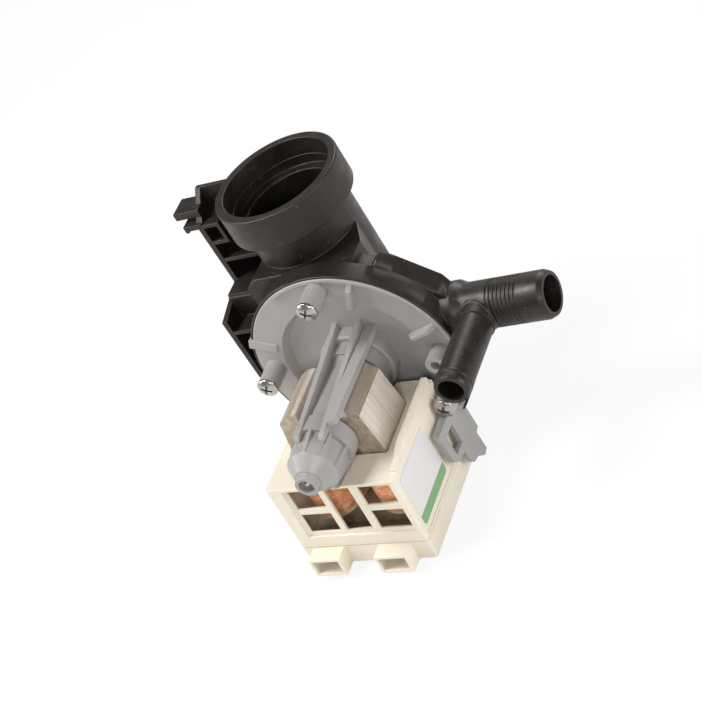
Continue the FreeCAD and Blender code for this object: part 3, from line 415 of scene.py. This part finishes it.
def mergedCopy(nodeName):
    # a copy of a node with its triangles joined and its flat faces made whole
    look = roundingSet
    bm = bmesh.new()
    bm.from_mesh(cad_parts[nodeName].data)
    bmesh.ops.remove_doubles(bm, verts=bm.verts, dist=look["joined"] * mm)
    bmesh.ops.dissolve_degenerate(bm, edges=bm.edges, dist=look["sliver"] * mm)
    bmesh.ops.dissolve_limit(bm, angle_limit=math.radians(look["flatAngle"]), verts=bm.verts, edges=bm.edges)
    return bm


def roundEdges(bm, edges, width, steps=2):
    bmesh.ops.bevel(bm, geom=edges, offset=width * mm, offset_type="OFFSET", segments=steps, profile=0.5,
                    affect="EDGES", clamp_overlap=False, material=-1)


def surfaceOf(nodeName):
    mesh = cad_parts[nodeName].data
    return BVHTree.FromPolygons([v.co for v in mesh.vertices], [list(p.vertices) for p in mesh.polygons])


def sharpEdges(bm, sharp, others, spoiled, reach):
    # edges to round: not where a node meets another of the same moulding, and not near a spoiled place
    edges = []
    for edge in bm.edges:
        if len(edge.link_faces) != 2 or edge.calc_face_angle(0.0) < sharp:
            continue
        start, end = (vert.co for vert in edge.verts)
        middle = (start + end) / 2
        if any(other.find_nearest(middle)[3] < roundingSet["shared"] * mm for other in others):
            continue
        if not any(nearEdge(spot, start, end, reach) for spot in spoiled):
            edges.append(edge)
    return edges


def nearEdge(spot, start, end, reach):
    along = min(max(intersect_point_line(spot, start, end)[1], 0.0), 1.0)
    return (start.lerp(end, along) - spot).length < reach


def spoiledPlaces(bm, surface, width):
    # corners of the triangles that left the node's surface or turned over
    look = roundingSet
    probe = bm.copy()
    bmesh.ops.triangulate(probe, faces=probe.faces[:])
    probe.normal_update()
    spots = set()
    for face in probe.faces:
        if face.calc_area() < look["smallestArea"] * mm * mm:
            continue
        place, way, _, gap = surface.find_nearest(face.calc_center_median())
        if gap > look["gapShare"] * width * mm or way.dot(face.normal) < look["turned"]:
            spots.update(tuple(vert.co) for vert in face.verts)
    stray = look["strayShare"] * width * mm
    spots.update(tuple(v.co) for v in probe.verts if surface.find_nearest(v.co)[3] > stray)
    probe.free()
    return [Vector(spot) for spot in spots]


def softCopy(nodeName, width, meets=(), steps=2, sharp=38.0, tries=8):
    # A copy of a node with its sharp edges rounded. What a rounding would spoil stays sharp.
    surface = surfaceOf(nodeName)
    others = [surfaceOf(other) for other in meets]
    spoiled = []
    for attempt in range(tries):
        bm = mergedCopy(nodeName)
        reach = (roundingSet["reachShare"] + roundingSet["reachStep"] * attempt) * width * mm
        edges = sharpEdges(bm, math.radians(sharp), others, spoiled, reach)
        roundEdges(bm, edges, width, steps)
        fresh = spoiledPlaces(bm, surface, width)
        if not fresh:
            break
        spoiled += fresh
    print(nodeName, "rounded edges", len(edges), "tries", attempt + 1, "places left spoiled", len(fresh))
    return bm


def replaceNode(nodeName, name, bm, finishes):
    piece = newPiece(name, bm, finishes, weighted=True)
    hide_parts(nodeName)
    return piece


# Floor and light
stageSet = {"floorSize": 3.0, "gap": 0.0005, "floorColour": (0.80, 0.80, 0.80), "whiteShare": 0.88, "world": 0.20}
# watts, size in metres, place from the middle of the object in metres
lampSet = {
    "keyLamp": (6.4, 0.32, (-0.38, -0.16, 0.78)),
    "frontLamp": (2.4, 0.25, (0.36, -0.68, 0.42)),
    "sideLamp": (3.2, 0.40, (0.85, -0.05, 0.20)),
    "leftLamp": (2.8, 0.32, (-0.80, -0.40, 0.35)),
    "backLamp": (3.6, 0.40, (-0.05, 0.80, 0.55)),
}


def floorPaint():
    # White to the camera, with the object's soft shadow kept in its other share
    paint = Paint("floor")
    paint.set(colour=stageSet["floorColour"], roughness=0.9, specular=0.0)
    path = paint.add("ShaderNodeLightPath")
    white = paint.add("ShaderNodeEmission", {}, {"Color": (1, 1, 1), "Strength": 1.0})
    seen = (path["Is Camera Ray"] + path["Is Glossy Ray"] + path["Is Transmission Ray"]).capped()
    blend = paint.add("ShaderNodeMixShader", {}, {"Fac": seen * stageSet["whiteShare"], 2: white[0]})
    paint.tree.links.new(paint.shader.outputs[0], blend.node.inputs[1])
    paint.tree.links.new(blend.node.outputs[0], paint.tree.nodes["Material Output"].inputs["Surface"])
    return paint.material


def makeStage():
    low, high = cadBox
    middle = (low + high) / 2
    bm = bmesh.new()
    bmesh.ops.create_grid(bm, x_segments=1, y_segments=1, size=stageSet["floorSize"] / 2)
    bmesh.ops.translate(bm, verts=bm.verts, vec=(middle.x, middle.y, low.z - stageSet["gap"]))
    mesh = bpy.data.meshes.new("floor")
    bm.to_mesh(mesh)
    bm.free()
    mesh.materials.append(floorPaint())
    floor = bpy.data.objects.new("floor", mesh)
    bpy.context.scene.collection.objects.link(floor)
    for name, (energy, size, place) in lampSet.items():
        data = bpy.data.lights.new(name, "AREA")
        data.shape = "DISK"
        data.size = size
        data.energy = energy
        lamp = bpy.data.objects.new(name, data)
        lamp.location = middle + Vector(place)
        lamp.rotation_mode = "QUATERNION"
        lamp.rotation_quaternion = (-Vector(place)).to_track_quat("-Z", "Y")
        bpy.context.scene.collection.objects.link(lamp)
    world = bpy.data.worlds.new("studio")
    world.use_nodes = True
    nodes = world.node_tree.nodes
    links = world.node_tree.links
    dim = nodes["Background"]
    dim.inputs["Color"].default_value = (1, 1, 1, 1)
    dim.inputs["Strength"].default_value = stageSet["world"]
    white = nodes.new("ShaderNodeBackground")
    white.inputs["Color"].default_value = (1, 1, 1, 1)
    path = nodes.new("ShaderNodeLightPath")
    blend = nodes.new("ShaderNodeMixShader")
    links.new(path.outputs["Is Camera Ray"], blend.inputs["Fac"])
    links.new(dim.outputs[0], blend.inputs[1])
    links.new(white.outputs[0], blend.inputs[2])
    links.new(blend.outputs[0], nodes["World Output"].inputs["Surface"])
    bpy.context.scene.world = world
    bpy.context.scene.view_settings.view_transform = "Standard"
    print("stage and", len(lampSet), "lamps made")


# Screws: the cross recess takes a darker, bluish zinc as painted shade
screwSet = {"round": 0.14, "crownY": -12.0, "crownRadius": 6.4, "recessRadius": 2.35, "recessFloor": -10.2,
            "axes": ((1.2, 35.3), (-34.2, 3.6), (29.5, -18.4))}


def makeScrews(finishes):
    bm = softCopy("flange_screws", screwSet["round"], steps=3)
    back = toFrame().inverted()
    for face in bm.faces:
        spot = back @ face.calc_center_median()
        across = min(math.hypot(spot.x - x, spot.z - z) for x, z in screwSet["axes"])
        crown = screwSet["crownY"] + across * across / (2 * screwSet["crownRadius"])
        # painted shade: faces inside the cross recess take the darker zinc
        if across < screwSet["recessRadius"] and crown + 0.12 < spot.y < screwSet["recessFloor"]:
            face.material_index = 1
    return replaceNode("flange_screws", "flangeScrews", bm, [finishes["zinc"], finishes["recess"]])


# Core: V grooves between the sheets, and sheets that stand a little back or not
coreSet = {"front": -36.0, "back": -12.6, "pitch": 0.5, "groove": 0.08, "depth": 0.09, "unevenness": 0.035, "seed": 4}


def makeCore(finishes):
    look = coreSet
    rng = random.Random(look["seed"])
    bm = mergedCopy("stator_core")
    shift = inletMouth.y
    count = round((look["back"] - look["front"]) / look["pitch"])
    for i in range(1, count):
        joint = look["front"] + look["pitch"] * i - shift
        for step in (-look["groove"], 0.0, look["groove"]):
            bmesh.ops.bisect_plane(bm, geom=bm.verts[:] + bm.edges[:] + bm.faces[:], dist=0.0001 * mm,
                                   plane_co=(0, (joint + step) * mm, 0), plane_no=(0, 1, 0))
    bm.normal_update()
    back = [rng.random() * look["unevenness"] for _ in range(count)]
    moves = []
    for vert in bm.verts:
        across = Vector((vert.normal.x, 0.0, vert.normal.z))
        if across.length < 0.3:
            continue
        height = (vert.co.y / mm + shift - look["front"]) / look["pitch"]
        sheet = min(int(height), count - 1)
        inGroove = abs(height - round(height)) < 0.02 and 0.4 < height < count - 0.4
        depth = look["depth"] if inGroove else back[sheet]
        moves.append((vert, across.normalized() * -depth * mm))
    for vert, move in moves:
        vert.co += move
    piece = newPiece("statorCore", bm, [finishes["steel"]], crease=25.0)
    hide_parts("stator_core")
    return piece


# Coils: one enamelled wire wound round each bobbin in uneven turns, over the inner layers
coilSet = {"centreX": 13.65, "centreY": -24.3, "halfWidth": 9.90, "halfDepth": 17.05, "lowZ": -34.7, "highZ": -13.9,
           "turns": 46, "steps": 48, "wire": 0.23, "wander": 0.30, "lift": 0.14, "squareness": 0.78}


def squared(part):
    # draws the loop out towards its corners
    return math.copysign(abs(part) ** coilSet["squareness"], part)


def makeCoil(side, sideName, finishes):
    look = coilSet
    place = toFrame(True)
    total = look["turns"] * look["steps"]
    curve = bpy.data.curves.new("windings", "CURVE")
    curve.dimensions = "3D"
    curve.bevel_depth = look["wire"] * mm
    curve.bevel_resolution = 1
    curve.use_fill_caps = True
    spline = curve.splines.new("POLY")
    spline.points.add(total)
    for i in range(total + 1):
        turn = i / look["steps"]
        angle = 2 * math.pi * turn
        climb = look["lowZ"] + (look["highZ"] - look["lowZ"]) * i / total
        around = Vector((math.cos(angle) * 1.7, math.sin(angle) * 1.7, turn * 0.83 + 9.0 * side))
        lift = look["lift"] * (noise.noise(around * 1.3) + 0.35)
        z = climb + look["wander"] * noise.noise(around + Vector((5.0, 2.0, 0.0)))
        x = side * (look["centreX"] + (look["halfWidth"] + lift) * squared(math.cos(angle)))
        y = look["centreY"] + (look["halfDepth"] + lift) * squared(math.sin(angle))
        z = min(max(z, look["lowZ"]), look["highZ"])
        spline.points[i].co = (*(place @ Vector((x, y, z))), 1.0)
    wire = bpy.data.objects.new("windings", curve)
    bpy.context.scene.collection.objects.link(wire)
    mesh = bpy.data.meshes.new_from_object(wire)
    bm = bmesh.new()
    bm.from_mesh(mesh)
    bpy.data.objects.remove(wire)
    bpy.data.curves.remove(curve)
    bpy.data.meshes.remove(mesh)
    piece = newPiece("coilWindings" + sideName, bm, [finishes["copper"]], crease=80.0)
    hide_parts("coil_turns_" + sideName.lower())
    return piece


# Label: bare film with a plain band along its lower edge
labelSet = {"frontX": 25.6, "thickness": 0.2, "y": (-47.0, -21.0), "z": (-37.0, -13.8), "bandTop": -32.6,
            "corner": 1.3}


def makeLabel(finishes):
    look = labelSet
    bm = bmesh.new()
    bmesh.ops.create_grid(bm, x_segments=1, y_segments=1, size=0.5)
    width = look["y"][1] - look["y"][0]
    height = look["z"][1] - look["z"][0]
    middle = (look["z"][0] + look["z"][1]) / 2
    bmesh.ops.scale(bm, verts=bm.verts, vec=(width, height, 1.0))
    bmesh.ops.bevel(bm, geom=bm.verts[:], offset=look["corner"], segments=6, profile=0.5, affect="VERTICES",
                    material=-1)
    bmesh.ops.bisect_plane(bm, geom=bm.verts[:] + bm.edges[:] + bm.faces[:], dist=0.0001,
                           plane_co=(0, look["bandTop"] - middle, 0), plane_no=(0, 1, 0))
    for face in bm.faces:
        face.material_index = 1 if face.calc_center_median().y < look["bandTop"] - middle else 0
    bmesh.ops.solidify(bm, geom=bm.faces[:], thickness=look["thickness"])
    upright = Matrix(((0, 0, 1, 0), (1, 0, 0, 0), (0, 1, 0, 0), (0, 0, 0, 1)))
    bmesh.ops.transform(bm, matrix=upright, verts=bm.verts)
    low = min(v.co.x for v in bm.verts)
    bmesh.ops.translate(bm, verts=bm.verts, vec=(look["frontX"] - low, sum(look["y"]) / 2, middle))
    bmesh.ops.transform(bm, matrix=toFrame(True), verts=bm.verts)
    bmesh.ops.recalc_face_normals(bm, faces=bm.faces)
    piece = newPiece("ratingLabel", bm, [finishes["film"], finishes["band"]])
    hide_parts("rating_label")
    return piece


# Rounded rings on the housing, each a small circle spun about the axis of its pipe
ringSet = {
    "branchBead": {"middle": (50.8, -25.2, 6.6), "axis": "Y", "radius": 5.70, "section": 1.0, "flat": 1.25},
    "collarInnerRing": {"middle": (-11.8, 32.0, 57.2), "axis": "Z", "radius": 21.32, "section": 0.32, "flat": 1.0},
}


def makeRing(name, finish):
    look = ringSet[name]
    quarter = Matrix.Rotation(math.pi / 2, 3, "X")
    bm = bmesh.new()
    bmesh.ops.create_circle(bm, cap_ends=False, segments=16, radius=look["section"])
    bmesh.ops.scale(bm, verts=bm.verts, vec=(1.0, look["flat"], 1.0))
    bmesh.ops.rotate(bm, verts=bm.verts, cent=(0, 0, 0), matrix=quarter)
    bmesh.ops.translate(bm, verts=bm.verts, vec=(look["radius"], 0, 0))
    bmesh.ops.spin(bm, geom=bm.edges[:] + bm.verts[:], cent=(0, 0, 0), axis=(0, 0, 1), angle=2 * math.pi, steps=96,
                   use_merge=True)
    bmesh.ops.remove_doubles(bm, verts=bm.verts, dist=0.0001)
    bmesh.ops.recalc_face_normals(bm, faces=bm.faces)
    if look["axis"] == "Y":
        bmesh.ops.rotate(bm, verts=bm.verts, cent=(0, 0, 0), matrix=quarter)
    bmesh.ops.translate(bm, verts=bm.verts, vec=look["middle"])
    bmesh.ops.transform(bm, matrix=toFrame(), verts=bm.verts)
    piece = newPiece(name, bm, [finish])
    return piece


# Mouldings: name of the piece, its finish and how far its edges are rounded
mouldingSet = {
    "volute_housing": ("pumpVolute", "black", 0.40),
    "inlet_pipe": ("inletPipe", "black", 0.45),
    "outlet_pipe": ("outletPipe", "black", 0.16),
    "holding_bracket": ("holdingBracket", "black", 0.28),
    "motor_flange": ("motorFlange", "gray", 0.24),
    "coil_box": ("coilBox", "cream", 0.30),
    "coil_box_base": ("coilBoxBase", "cream", 0.28),
}
housingNodes = ("volute_housing", "inlet_pipe", "outlet_pipe", "holding_bracket")


def makeMouldings(finishes):
    for node, (name, finish, width) in mouldingSet.items():
        meets = [other for other in housingNodes if other != node] if node in housingNodes else ()
        replaceNode(node, name, softCopy(node, width, meets), [finishes[finish]])
    print("mouldings made")


def main():
    makeCamera()
    finishes = makeFinishes()
    dressNodes(finishes)
    makeMouldings(finishes)
    for name in ringSet:
        makeRing(name, finishes["black"])
    makeScrews(finishes)
    makeCore(finishes)
    makeCoil(1, "Right", finishes)
    makeCoil(-1, "Left", finishes)
    makeLabel(finishes)
    print("rings, screws, core, coils and label made")
    makeStage()


main()
